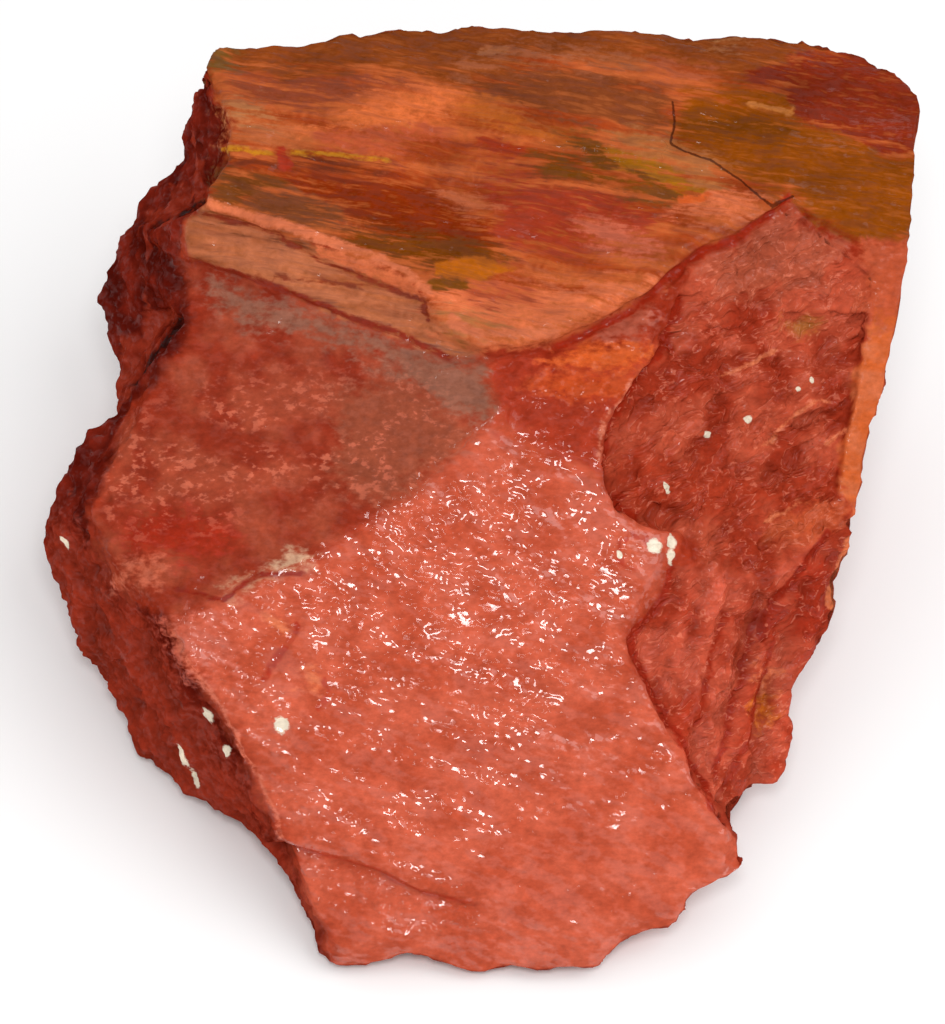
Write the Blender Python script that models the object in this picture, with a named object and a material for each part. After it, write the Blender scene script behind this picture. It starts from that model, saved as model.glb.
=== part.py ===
"""A rough block of red jasper, about 14 cm across, lying on its flat underside.

The stone is laid out from its broad front face. A place on it is (right, up, out) in millimetres:
along the face to the right, up its slope, and out from its plane. Right and up are taken on that
plane along sight lines from a point SIGHT_DISTANCE in front of it, so that what lies behind the
plane is spread a little wider than its numbers say.
"""

import math

import bmesh
import bpy
from mathutils import Vector, noise
from mathutils.geometry import delaunay_2d_cdt

MM = 0.001

# Driving dimensions, in millimetres and degrees
FACE_ELEVATION = 52.0
FACE_HEIGHT = 52.5
SIGHT_DISTANCE = 700.0
DENSE_EDGE = 1.7
REFINING_ROUNDS = 6
TRIANGLES = 8600
HACKLE_MEAN = 0.96
SEED = Vector((3.7, 11.2, 5.9))
BLOCK_CENTRE = Vector((1.0, 16.2, 0.0))

# The rim as it is seen from the front, clockwise from the top left corner
BACK_EDGE = [
    (-42.5, 70.5, -28.0), (-42.0, 72.3, -29.5), (-40.0, 73.7, -31.0), (-36.0, 74.3, -31.5),
    (-27.0, 74.5, -32.0), (-21.0, 76.0, -32.5), (-15.0, 76.6, -33.0), (-9.0, 76.8, -33.0),
    (-5.0, 76.4, -33.0), (0.0, 77.4, -33.5), (3.5, 77.6, -34.0), (12.0, 77.1, -33.5),
    (20.0, 77.2, -33.5), (24.0, 77.5, -34.0), (29.0, 76.7, -33.5), (37.0, 76.4, -33.5),
    (42.0, 77.7, -34.0), (45.0, 76.8, -33.5), (48.0, 76.2, -33.5), (51.0, 76.5, -34.0),
    (53.0, 75.6, -33.5), (56.0, 75.4, -33.5), (59.0, 73.7, -33.0), (62.0, 71.7, -32.0),
    (65.0, 70.4, -31.5), (68.0, 68.5, -30.0), (69.8, 66.5, -28.5),
]
RIGHT_EDGE = [
    (70.5, 64.0, -27.0), (70.3, 58.0, -24.5), (70.2, 53.0, -22.5), (69.5, 46.0, -20.8),
    (68.8, 40.0, -20.8), (67.5, 32.0, -21.5), (66.3, 25.0, -21.5), (65.0, 20.0, -21.0),
    (63.8, 15.0, -20.5), (62.5, 9.0, -20.0), (61.5, 3.0, -19.5), (60.7, -2.0, -19.0),
    (60.2, -6.0, -19.0), (58.8, -10.0, -19.0), (58.0, -15.0, -19.5), (57.0, -19.0, -20.0),
    (54.8, -21.5, -20.0), (53.0, -23.3, -19.5), (51.2, -26.0, -19.0), (50.2, -29.0, -18.5),
    (49.5, -32.0, -18.0), (50.5, -35.0, -18.5), (50.0, -38.0, -18.0), (48.8, -40.8, -17.5),
    (47.3, -43.0, -17.0), (45.0, -44.0, -15.5), (42.4, -46.4, -13.0), (42.0, -50.0, -10.5),
]
TOE = [
    (42.3, -52.5, -6.0), (43.8, -55.0, -3.5), (42.8, -56.8, -3.5), (39.5, -58.5, -3.0),
    (35.3, -60.8, -3.0), (34.0, -63.0, -3.5), (32.7, -65.8, -4.0), (28.0, -67.3, -4.5),
    (24.0, -68.5, -5.0), (21.8, -70.3, -5.0), (20.5, -71.8, -5.5), (10.0, -72.8, -5.5),
    (5.0, -72.2, -5.5), (2.0, -73.5, -6.0), (0.0, -73.3, -6.0), (-2.0, -72.4, -6.0),
    (-5.0, -71.2, -6.0), (-8.0, -70.2, -5.5), (-11.0, -70.2, -5.5), (-15.0, -71.6, -6.0),
    (-19.0, -72.0, -6.5), (-22.0, -72.3, -7.0),
]
LEFT_FLANK_EDGE = [
    (-23.6, -71.0, -8.0), (-25.5, -68.0, -9.5), (-27.0, -64.0, -11.0), (-28.6, -60.0, -12.0),
    (-30.3, -55.5, -12.5), (-33.0, -52.5, -14.0), (-35.3, -50.0, -16.5), (-37.3, -48.2, -19.0),
    (-39.5, -48.0, -21.0), (-42.0, -47.0, -23.0), (-44.5, -45.3, -25.0), (-47.0, -43.0, -27.0),
    (-50.0, -40.6, -29.5), (-53.0, -38.3, -32.0), (-54.3, -35.0, -33.5), (-56.3, -29.8, -36.0),
    (-58.0, -27.2, -37.0), (-60.0, -25.6, -38.5), (-62.5, -23.5, -39.5), (-64.3, -20.3, -40.0),
    (-65.3, -17.0, -40.0), (-65.4, -14.0, -39.5), (-66.5, -10.5, -38.0), (-67.3, -8.3, -36.5),
    (-68.5, -7.0, -35.5), (-67.9, -5.5, -35.0), (-68.5, -3.3, -34.5), (-67.8, -1.0, -33.5),
    (-66.5, 2.0, -32.0), (-65.0, 5.0, -30.5), (-64.4, 7.3, -29.5), (-63.5, 9.8, -28.0),
    (-60.5, 12.7, -26.5), (-58.3, 14.5, -26.0), (-56.2, 15.8, -26.5),
]
LEFT_BACK_EDGE = [
    (-55.8, 17.5, -44.0), (-56.8, 20.5, -48.0), (-57.5, 25.0, -52.0), (-58.3, 28.0, -54.0),
    (-58.8, 32.0, -56.0), (-60.0, 35.0, -58.0), (-59.3, 38.0, -58.0), (-58.7, 41.0, -57.5),
    (-57.8, 43.5, -57.0), (-55.5, 45.8, -56.0), (-54.5, 47.5, -55.0), (-53.5, 50.0, -54.0),
    (-50.5, 52.3, -52.0), (-48.0, 54.0, -50.0), (-45.7, 56.5, -48.0), (-45.8, 58.5, -47.5),
    (-46.2, 61.5, -47.0), (-45.5, 63.0, -46.0), (-44.0, 65.0, -43.0), (-43.0, 67.0, -38.0),
]
RIM = BACK_EDGE + RIGHT_EDGE + TOE + LEFT_FLANK_EDGE + LEFT_BACK_EDGE

# Edges, ledges and their feet on the side that the broad face looks to
TOP_BEVEL = [
    (-40.5, 69.0, -24.2), (-30.0, 70.3, -25.3), (-15.0, 71.3, -25.3), (0.0, 72.0, -25.0),
    (15.0, 72.3, -24.7), (30.0, 71.5, -24.0), (42.0, 70.8, -23.5), (54.0, 70.0, -24.2),
    (62.0, 67.0, -25.0),
]
PLATEAU_LEFT_END = [
    (-40.5, 69.0, -24.2), (-38.3, 65.0, -22.2), (-38.0, 62.0, -20.7), (-38.8, 57.0, -18.2),
    (-40.5, 52.0, -15.7), (-42.0, 49.0, -14.3),
]
PLATEAU_LEDGE = [
    (-42.0, 49.0, -14.3), (-36.0, 47.7, -13.4), (-30.0, 45.3, -12.0), (-26.0, 43.3, -11.0),
    (-20.0, 41.3, -9.8), (-14.0, 38.6, -8.2), (-9.0, 36.0, -6.8), (-7.0, 33.0, -5.2),
    (-5.0, 30.5, -3.9), (-1.0, 27.5, -2.3), (3.0, 26.3, -1.6), (8.0, 27.0, -1.8),
    (13.0, 28.7, -2.5), (18.0, 32.0, -4.0), (24.0, 34.8, -5.2), (29.0, 37.0, -6.1),
    (33.0, 41.5, -8.3), (38.0, 44.5, -9.6), (44.0, 47.0, -10.7), (50.0, 50.0, -12.0),
]
PLATEAU_LEDGE_FOOT = [
    (-43.0, 46.7, -17.3), (-37.0, 45.7, -16.2), (-31.0, 44.0, -15.0), (-28.5, 41.8, -13.8),
    (-25.0, 39.8, -12.8), (-20.0, 37.8, -11.6), (-15.0, 35.8, -10.4), (-10.5, 33.8, -9.0),
    (-8.3, 31.0, -7.5), (-6.3, 28.3, -6.2), (-1.0, 25.2, -5.0), (3.5, 24.6, -4.6),
    (9.0, 25.0, -4.8), (14.5, 26.8, -5.2), (19.3, 30.0, -6.5), (25.3, 33.0, -7.5),
    (30.5, 35.3, -8.5), (34.8, 40.8, -10.3), (39.5, 43.2, -11.3), (45.0, 45.8, -12.0),
]
PLATEAU_BEND = [(47.0, 49.5, -12.0), (50.0, 58.0, -16.0), (53.0, 65.0, -20.0)]
STEP_EDGE = [
    (-45.0, 40.5, -19.3), (-40.0, 38.5, -17.3), (-34.0, 36.5, -15.3), (-29.0, 34.7, -13.6),
    (-24.0, 33.0, -11.8), (-20.0, 30.7, -10.3), (-15.0, 28.6, -8.3), (-10.0, 26.0, -6.5),
    (-5.0, 23.8, -4.9), (0.5, 22.3, -3.6),
]
STEP_FOOT = [
    (-44.5, 38.3, -20.7), (-39.0, 36.3, -18.6), (-33.5, 34.6, -16.6), (-28.5, 32.9, -14.6),
    (-23.5, 31.0, -12.6), (-19.5, 28.8, -10.8), (-14.5, 26.8, -8.9), (-9.5, 24.2, -6.7),
    (-5.0, 22.2, -4.8),
]
PANEL_TIP = [(0.5, 22.3, -3.6), (1.8, 21.0, -2.7), (3.5, 18.5, -1.2), (5.0, 16.3, -0.3)]
PANEL_TIP_FOOT = [(3.0, 22.3, -4.1), (4.8, 19.4, -2.6), (6.2, 17.2, -1.7)]
PANEL_RIDGE = [
    (-51.0, -13.0, -3.0), (-44.0, -14.0, -1.2), (-37.0, -13.5, -0.3), (-33.0, -10.0, -0.2),
    (-28.0, -7.5, -0.1), (-20.0, -2.0, 0.0), (-12.0, 4.0, 0.0), (-4.0, 10.0, 0.0),
    (1.0, 13.5, 0.0), (5.0, 16.3, -0.3),
]
PANEL_LEFT_EDGE = [
    (-46.0, 30.2, -18.0), (-48.0, 26.5, -17.2), (-51.0, 20.0, -15.6), (-54.0, 13.0, -13.8),
    (-57.0, 7.5, -12.6), (-60.5, 1.0, -11.1), (-60.0, -3.5, -9.3), (-57.0, -8.0, -6.9),
    (-51.0, -13.0, -3.0),
]
BROAD_FACE_LEFT_EDGE = [
    (-51.0, -13.0, -3.0), (-47.3, -17.0, -0.8), (-46.0, -21.0, -0.2), (-44.5, -25.0, 0.0),
    (-41.0, -29.0, 0.0), (-39.0, -34.0, 0.0), (-37.0, -39.0, -0.3), (-34.5, -43.5, -0.5),
    (-31.5, -49.0, -1.0), (-30.0, -53.0, -1.5), (-28.0, -57.0, -2.0), (-25.5, -61.5, -3.0),
    (-23.5, -66.0, -4.2), (-22.0, -72.3, -7.0),
]
LEFT_FLANK_WAIST = [
    (-53.5, 17.5, -20.0), (-58.0, 11.0, -20.5), (-62.0, 4.0, -21.5), (-64.5, -2.0, -23.5),
    (-61.5, -9.0, -21.0), (-59.5, -16.0, -22.0), (-55.5, -23.0, -21.0), (-51.0, -29.0, -19.0),
    (-47.5, -34.5, -17.0), (-44.0, -39.0, -16.0), (-40.0, -44.0, -16.5),
]
LEFT_FLANK_RIB = [
    (-42.0, -36.0, -9.5), (-39.0, -41.0, -9.0), (-36.5, -45.5, -10.0), (-33.5, -50.0, -9.0),
]
RIB_TOP = [(-42.0, 49.0, -14.3), (-45.0, 47.3, -18.0), (-48.0, 46.0, -22.0), (-50.0, 45.0, -26.0)]
RIB_LEFT_EDGE = [
    (-50.0, 45.0, -26.0), (-48.8, 40.0, -26.0), (-48.0, 35.0, -25.5), (-47.0, 31.6, -24.5),
    (-46.0, 30.2, -18.0),
]
RIB_RIGHT_EDGE = [(-43.0, 46.7, -17.3), (-45.3, 43.0, -18.6), (-45.0, 40.5, -19.3)]
RIB_VALLEY = [(-44.5, 38.3, -20.7), (-45.3, 34.5, -20.5), (-46.0, 30.2, -18.0)]
UPPER_CRACK = [(-41.6, 51.6, -27.0), (-45.2, 48.8, -36.0), (-50.2, 46.1, -41.0)]
LOWER_CRACK_LIP = [
    (-46.0, 30.2, -18.0), (-49.0, 27.0, -19.5), (-52.0, 23.0, -21.0), (-54.5, 19.0, -23.5),
    (-56.2, 15.8, -26.5),
]
LOWER_CRACK = [
    (-47.9, 31.2, -37.0), (-50.2, 28.2, -41.0), (-53.2, 24.0, -44.0), (-55.3, 19.7, -45.0),
]
BACK_FLANK_WAIST = [
    (-42.3, 66.0, -33.0), (-42.4, 60.0, -33.0), (-43.3, 55.0, -36.0), (-47.0, 51.0, -42.0),
    (-53.0, 45.0, -48.0), (-54.0, 38.0, -46.0), (-53.6, 32.0, -46.5), (-55.2, 26.0, -48.0),
]
SMALL_PANEL = [
    (6.2, 17.2, -1.7), (9.0, 19.5, -2.3), (13.0, 22.0, -2.9), (18.0, 21.2, -2.8),
    (25.0, 20.0, -3.0),
]
SMALL_PANEL_FOOT = [
    (6.2, 17.2, -1.7), (5.6, 12.0, -1.2), (5.8, 8.0, -0.9), (12.0, 5.0, -0.6), (21.8, 3.5, -0.6),
]
ORANGE_SHELF = [(15.0, 25.0, -4.3), (21.0, 26.5, -4.9), (27.5, 25.5, -5.2)]
HOLLOW_LIP = [
    (33.0, 37.0, -9.0), (31.5, 32.0, -7.5), (28.5, 27.5, -5.8), (27.5, 25.5, -5.2),
    (26.8, 23.5, -4.6), (25.0, 20.0, -3.0), (23.7, 17.0, -2.0), (22.0, 12.5, -1.0),
    (21.0, 8.0, -0.6), (21.8, 3.5, -0.6), (24.5, 0.5, -1.0), (28.0, -2.0, -1.5),
    (31.0, -3.2, -2.2),
]
HOLLOW_WALL_FOOT = [
    (34.5, 36.0, -10.6), (33.0, 31.0, -10.3), (31.0, 26.5, -9.8), (29.8, 22.5, -9.2),
    (28.3, 18.5, -8.5), (26.5, 14.0, -7.7), (25.0, 9.5, -7.0), (25.0, 5.5, -6.6),
    (27.0, 2.2, -6.6), (30.0, -0.2, -6.8), (33.5, -2.3, -7.2),
]
HOLLOW_TOP = [
    (34.5, 36.0, -10.6), (40.0, 35.0, -12.3), (46.0, 33.5, -15.0), (50.5, 30.5, -18.0),
    (56.0, 32.5, -18.6), (62.3, 30.5, -21.3),
]
HOLLOW_RIGHT_FOOT = [
    (62.3, 30.5, -21.3), (61.0, 24.0, -20.9), (59.5, 15.0, -20.2), (58.0, 8.0, -19.3),
    (57.3, 4.0, -18.8),
]
STRIP_EDGE = [
    (63.3, 32.0, -19.3), (62.0, 24.0, -18.8), (60.5, 15.0, -18.2), (59.0, 8.0, -17.6),
    (58.4, 3.0, -17.3),
]
HOLLOW_BOTTOM = [
    (33.5, -4.9, -6.6), (36.0, -8.5, -7.4), (42.0, -10.0, -10.2), (46.0, -13.0, -12.8),
    (50.0, -10.5, -15.0), (54.0, -6.0, -16.5), (60.2, -6.0, -19.0),
]
BROAD_FACE_RIGHT_EDGE = [
    (31.0, -3.2, -2.2), (29.5, -8.0, -1.5), (27.0, -12.0, -0.8), (25.0, -17.0, -0.4),
    (24.3, -21.0, -0.3), (26.0, -26.0, -0.4), (29.5, -33.0, -0.6), (33.0, -39.5, -0.8),
    (36.5, -45.0, -1.0), (40.3, -49.5, -2.4), (42.3, -52.5, -6.0),
]
RIGHT_PANEL_FOOT = [
    (31.3, -9.0, -4.2), (28.2, -14.0, -3.2), (26.6, -20.5, -2.9), (28.2, -26.0, -3.4),
    (31.7, -33.0, -5.0), (35.0, -39.5, -6.6), (38.5, -45.0, -8.4), (40.9, -48.7, -9.6),
]
RIGHT_PANEL_RIB = [
    (36.5, -14.0, -6.8), (37.8, -22.0, -8.4), (38.6, -30.0, -9.4), (40.0, -38.0, -10.6),
]
RIGHT_PANEL_VALLEY = [
    (45.0, -18.0, -14.6), (45.5, -25.0, -15.6), (45.0, -33.0, -15.0), (44.0, -40.0, -14.0),
]
TOE_FACET = [
    (-30.0, -53.0, -1.5), (-22.0, -54.7, -0.5), (-15.0, -57.5, -0.3), (-9.0, -61.0, -0.5),
    (-4.0, -65.0, -1.2),
]
TOE_UNDERCUT = [
    (-21.0, -69.0, -3.0), (-14.0, -68.3, -2.6), (-7.0, -68.0, -2.4), (0.0, -67.0, -2.0),
    (5.0, -65.3, -1.6), (9.0, -63.8, -1.2), (20.0, -67.0, -1.9), (31.0, -63.0, -1.8),
]
BROAD_FACE_SWELL = [
    (-25.0, -30.0, 0.9), (-5.0, -25.0, 1.3), (10.0, -35.0, 1.4), (15.0, -50.0, 1.0),
]
BREAK_LINES = [
    TOP_BEVEL, PLATEAU_LEFT_END, PLATEAU_LEDGE, PLATEAU_LEDGE_FOOT, PLATEAU_BEND,
    STEP_EDGE, STEP_FOOT, PANEL_TIP, PANEL_TIP_FOOT, PANEL_RIDGE, PANEL_LEFT_EDGE,
    BROAD_FACE_LEFT_EDGE, LEFT_FLANK_WAIST, LEFT_FLANK_RIB, RIB_TOP, RIB_LEFT_EDGE,
    RIB_RIGHT_EDGE, RIB_VALLEY, UPPER_CRACK, LOWER_CRACK_LIP, LOWER_CRACK,
    BACK_FLANK_WAIST, SMALL_PANEL, SMALL_PANEL_FOOT, ORANGE_SHELF, HOLLOW_LIP,
    HOLLOW_WALL_FOOT, HOLLOW_TOP, HOLLOW_RIGHT_FOOT, STRIP_EDGE, HOLLOW_BOTTOM,
    BROAD_FACE_RIGHT_EDGE, RIGHT_PANEL_FOOT, RIGHT_PANEL_RIB, RIGHT_PANEL_VALLEY,
    TOE_FACET, TOE_UNDERCUT, BROAD_FACE_SWELL,
]

# The underside, on the floor, clockwise from the back left corner as seen from above
UNDERSIDE = [
    (-40.0, 66.0), (-10.0, 74.0), (20.0, 72.0), (50.0, 70.0), (60.0, 52.0), (56.0, 25.0),
    (50.0, 0.0), (38.0, -26.0), (22.0, -45.0), (0.0, -48.0), (-18.0, -46.0), (-36.0, -22.0),
    (-52.0, 4.0), (-58.0, 30.0), (-52.0, 56.0),
]
SKIRT_DEPTH = 6.0
SKIRT_RINGS = 3
BACK_BULGE = 7.0
MIDDLE = Vector((0.0, 15.0))

# The flat breaks of the hidden sides, each as (a point on it, the way it faces)
UNDERSIDE_BREAK = ((0.0, 0.0, 0.0), (0.0, 0.0, -1.0))
BACK_WALL = ((0.0, 85.5, 50.0), (0.06, 1.0, 0.06))
BACK_RIGHT_CORNER = ((57.0, 77.0, 20.0), (0.72, 0.66, -0.2))
BACK_LEFT_CORNER = ((-50.0, 74.0, 20.0), (-0.62, 0.76, -0.18))
LOW_BACK_BEVEL = ((0.0, 80.0, 14.0), (0.1, 0.8, -0.6))
LOW_RIGHT_BEVEL = ((60.0, 25.0, 12.0), (0.84, -0.1, -0.54))
LOW_LEFT_BEVEL = ((-60.0, 30.0, 8.0), (-0.8, 0.1, -0.6))
FLAT_BREAKS = [
    UNDERSIDE_BREAK, BACK_WALL, BACK_RIGHT_CORNER, BACK_LEFT_CORNER,
    LOW_BACK_BEVEL, LOW_RIGHT_BEVEL, LOW_LEFT_BEVEL,
]


def placed(right, up, out):
    """World position, in millimetres, of a place given from the broad face."""
    spread = 1 - out / SIGHT_DISTANCE
    tilt = math.radians(FACE_ELEVATION)
    across, along = right * spread, up * spread
    return Vector((
        across,
        along * math.sin(tilt) - out * math.cos(tilt),
        along * math.cos(tilt) + out * math.sin(tilt) + FACE_HEIGHT,
    ))


def seen_from_face(point):
    """The (right, up, out) of a world position: the reverse of placed."""
    tilt = math.radians(FACE_ELEVATION)
    height = point.z - FACE_HEIGHT
    out = height * math.sin(tilt) - point.y * math.cos(tilt)
    along = height * math.cos(tilt) + point.y * math.sin(tilt)
    spread = 1 - out / SIGHT_DISTANCE
    return point.x / spread, along / spread, out


def near(value, middle, reach):
    """1 at the middle, falling smoothly to 0 at this reach from it."""
    share = max(0.0, 1 - abs(value - middle) / reach)
    return share * share * (3 - 2 * share)


def ramp(value, low, high):
    """0 up to low, 1 from high on, and smooth between them."""
    share = min(max((value - low) / (high - low), 0.0), 1.0)
    return share * share * (3 - 2 * share)


def streak(right, up, slope, long, short, shift):
    """Noise drawn out along a direction of the broad face, from -1 to 1."""
    along = right * math.cos(slope) + up * math.sin(slope)
    across = up * math.cos(slope) - right * math.sin(slope)
    return noise.noise(Vector((along / long, across / short, shift)))


def on_outline(outline, azimuth):
    """Where a ray from MIDDLE at this azimuth crosses a closed outline on the floor."""
    way = Vector((math.cos(azimuth), math.sin(azimuth)))
    for first, last in zip(outline, outline[1:] + outline[:1]):
        start, side = Vector(first) - MIDDLE, Vector(last) - Vector(first)
        crossing = way.x * side.y - way.y * side.x
        if abs(crossing) < 1e-9:
            continue
        reach = (start.x * side.y - start.y * side.x) / crossing
        share = (start.x * way.y - start.y * way.x) / crossing
        if reach > 0 and 0 <= share <= 1:
            return MIDDLE + way * reach
    raise ValueError("the outline doesn't go round its middle")


def front_relief(bm):
    """Builds the side seen from the front as flat triangles between the break lines.

    It returns the rim's vertices in order.
    """
    spots, outs, links = [], [], []
    numbers = {}

    def number(place):
        key = place[:2]
        if key not in numbers:
            numbers[key] = len(spots)
            spots.append(Vector(key))
            outs.append(place[2])
        return numbers[key]

    rim = [number(place) for place in RIM]
    for line in BREAK_LINES:
        ids = [number(place) for place in line]
        links += list(zip(ids, ids[1:]))
    found, _, triangles, sources, _, _ = delaunay_2d_cdt(spots, links, [rim], 1, 1e-5)
    if len(found) != len(spots):
        raise ValueError("two break lines cross")
    vertices = {}
    for index, source in enumerate(sources):
        own = source[0]
        vertices[index] = (own, bm.verts.new(placed(*spots[own], outs[own])))
    for triangle in triangles:
        bm.faces.new([vertices[i][1] for i in triangle])
    by_source = dict(vertices.values())
    return [by_source[i] for i in rim]


def skirt(bm, rim):
    """Carries the rim down and in to the underside, in rings, and closes it there."""
    hidden = bm.verts.layers.float["hidden"]
    upper = rim
    starts = [v.co.copy() for v in rim]
    for ring in range(1, SKIRT_RINGS + 1):
        share = ring / SKIRT_RINGS
        lower = []
        for start in starts:
            azimuth = math.atan2(start.y - MIDDLE.y, start.x - MIDDLE.x)
            foot = on_outline(UNDERSIDE, azimuth)
            point = start.lerp(Vector((foot.x, foot.y, -SKIRT_DEPTH)), share)
            bulge = BACK_BULGE * ramp(start.y, 50.0, 75.0) * math.sin(math.pi * share)
            point.y += bulge * (1 + 0.4 * math.cos(start.x / 17))
            lower.append(bm.verts.new(point))
            lower[-1][hidden] = 1.0
        count = len(lower)
        for i in range(count):
            j = (i + 1) % count
            bm.faces.new((upper[i], upper[j], lower[j], lower[i]))
        upper = lower
    bm.faces.new(upper)


def slice_off(bm, point, way):
    """Breaks away what lies beyond a plane, and leaves a flat face there."""
    cut = bmesh.ops.bisect_plane(
        bm, geom=bm.verts[:] + bm.edges[:] + bm.faces[:], dist=1e-4,
        plane_co=point, plane_no=way, clear_outer=True,
    )
    rim = [e for e in cut["geom_cut"] if isinstance(e, bmesh.types.BMEdge)]
    bmesh.ops.triangle_fill(bm, edges=rim, use_beauty=True, normal=way)


def refine(bm, longest):
    """Halves the edges over this length, as often as REFINING_ROUNDS."""
    for _ in range(REFINING_ROUNDS):
        bmesh.ops.triangulate(bm, faces=bm.faces[:])
        long_edges = [e for e in bm.edges if e.calc_length() > longest]
        bmesh.ops.subdivide_edges(bm, edges=long_edges, cuts=1)
    bmesh.ops.triangulate(bm, faces=bm.faces[:])


def broken_facets(point, width):
    """Height, over a facet's width, of flat facets that each lean their own way."""
    spot = point / width
    middle = noise.voronoi(spot)[1][0]
    lean = noise.cell_vector(middle * 91.7) * 2 - Vector((1, 1, 1))
    return lean.dot(spot - middle)


def relief(point, hidden):
    """How far the rough surface stands out from the flat facets at a point, in millimetres.

    hidden runs from 0 on the front side to 1 on the walls below its rim.
    """
    right, up, _ = seen_from_face(point)
    spot = point + SEED * 10
    on_hollow = near(right, 45, 24) * near(up, 14, 32)
    on_right_panel = near(right, 42, 20) * near(up, -28, 28)
    on_plateau = near(right, 14, 66) * near(up, 58, 26)
    on_broad_face = near(right, -2, 46) * near(up, -28, 52)
    on_left_flank = near(right, -60, 22) * near(up, -15, 45)
    calm = 1 - 0.6 * on_broad_face
    height = 0.9 * calm * noise.fractal(spot / 19, 0.9, 2.1, 3)
    rough = 0.35 * calm + 0.9 * on_hollow + 0.6 * on_left_flank + 0.8 * hidden
    height += rough * (noise.ridged_multi_fractal(spot / 10, 1.0, 2.2, 3, 1.0, 1.6) - HACKLE_MEAN)
    height += 1.1 * on_right_panel * streak(right, up, 1.45, 24, 4.5, 2.0)
    height += 0.9 * on_hollow * streak(right, up, 0.6, 16, 4.0, 7.0)
    height += 0.8 * on_plateau * streak(right, up, -0.2, 34, 5.0, 4.0)
    height += 0.45 * on_broad_face * streak(right, up, -0.25, 20, 4.5, 9.0)
    height += hidden * min(4.5 * broken_facets(spot, 30) - 2.5, 0.0)
    return height * ramp(point.z, 0.0, 4.0)


def stone_mesh():
    bm = bmesh.new()
    bm.verts.layers.float.new("hidden")
    rim = front_relief(bm)
    skirt(bm, rim)
    bmesh.ops.triangulate(bm, faces=bm.faces[:])
    bmesh.ops.recalc_face_normals(bm, faces=bm.faces[:])
    for point, way in FLAT_BREAKS:
        slice_off(bm, Vector(point), Vector(way).normalized())
    bmesh.ops.recalc_face_normals(bm, faces=bm.faces[:])
    refine(bm, DENSE_EDGE)
    bm.normal_update()
    hidden = bm.verts.layers.float["hidden"]
    moves = [(v, v.normal * relief(v.co, v[hidden])) for v in bm.verts]
    for vertex, move in moves:
        vertex.co += move
    for vertex in bm.verts:
        vertex.co = (vertex.co - BLOCK_CENTRE) * MM
    mesh = bpy.data.meshes.new("stone")
    bm.to_mesh(mesh)
    bm.free()
    return mesh


def jasper():
    """Wet brick-red jasper."""
    material = bpy.data.materials.new("jasper")
    material.use_nodes = True
    shader = material.node_tree.nodes["Principled BSDF"]
    shader.inputs["Base Color"].default_value = (0.50, 0.085, 0.045, 1.0)
    shader.inputs["Roughness"].default_value = 0.35
    shader.inputs["Metallic"].default_value = 0.0
    return material


def main():
    for obj in list(bpy.data.objects):
        bpy.data.objects.remove(obj)
    mesh = stone_mesh()
    mesh.materials.append(jasper())
    stone = bpy.data.objects.new("rock", mesh)
    bpy.context.scene.collection.objects.link(stone)
    thinner = stone.modifiers.new("Decimate", "DECIMATE")
    thinner.ratio = TRIANGLES / len(mesh.polygons)


main()
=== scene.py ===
import math

import bmesh
import bpy
import numpy as np
from mathutils import Matrix, Vector, noise


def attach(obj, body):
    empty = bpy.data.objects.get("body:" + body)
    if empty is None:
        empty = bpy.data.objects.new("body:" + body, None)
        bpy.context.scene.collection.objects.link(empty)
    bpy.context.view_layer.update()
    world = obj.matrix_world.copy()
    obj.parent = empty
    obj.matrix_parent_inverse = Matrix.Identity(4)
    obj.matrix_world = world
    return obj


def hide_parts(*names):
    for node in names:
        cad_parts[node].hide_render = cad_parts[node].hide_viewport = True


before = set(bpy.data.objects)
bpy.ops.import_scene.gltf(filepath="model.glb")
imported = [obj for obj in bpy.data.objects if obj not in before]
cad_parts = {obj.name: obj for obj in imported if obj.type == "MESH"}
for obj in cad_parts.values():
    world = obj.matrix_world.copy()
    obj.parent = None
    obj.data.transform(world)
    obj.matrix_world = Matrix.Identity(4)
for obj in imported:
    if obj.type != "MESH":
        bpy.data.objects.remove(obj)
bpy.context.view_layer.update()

# The noise that bends edges, ridges and streaks comes out the same in each run
NOISE_SEED = 7
noise.seed_set(NOISE_SEED)

# A rough block of wet red jasper. Places on it are given as (right, up) or (right, up, out) in
# millimetres from the middle of its broad front face, seen square on from SIGHT_DISTANCE away.
FACE_ELEVATION = math.radians(52.0)
FACE_HEIGHT = 52.5
SIGHT_DISTANCE = 700.0
BLOCK_CENTRE = Vector((1.0, 16.2, 0.0))
PICTURE_HEIGHT = 162.5
MM = 0.001

# The light all round, and the lamps as name, (right, up, out), size in metres and power in watts
WORLD_LIGHT = 0.74
LAMPS = [("flash", (10, 85, 690), 0.15, 1.3), ("soft_box", (640, 450, 940), 0.9, 4.5)]

# How deep the wet film's ripples are, in metres, and how smooth and dense the film is
FILM_DEPTH = 0.00026
FILM_ROUGHNESS = 0.07
FILM_IOR = 1.5
STONE_ROUGHNESS = 0.6

# How often each of the solid's edges is cut, all round and then again on its front, and how many
# times the cut surface is eased
CUTS_ALL_ROUND = 2
CUTS_ON_FRONT = 1
EASING_PASSES = 4

# The slopes of the bedding, and of the ripples of the broad face and the film, in radians
BEDDING_SLOPE = -0.16
RIPPLE_SLOPE = -0.3

# How light the stone is before the painted shade in its relief's low places and the painted light on its
# ridges darken and lighten it, and the least and most
BASE_TONE = 0.86
TONE_LIMITS = (0.6, 1.25)

# The heights of the small steps at the zones' borders, in millimetres
PLATEAU_LIP = 0.6
SLAB_LIP = 0.4
HOLLOW_RIM = 1.4
RIGHT_PANEL_DROP = 0.8
TOE_DROP = 2.2
TOE_REACH = 8.5

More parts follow.
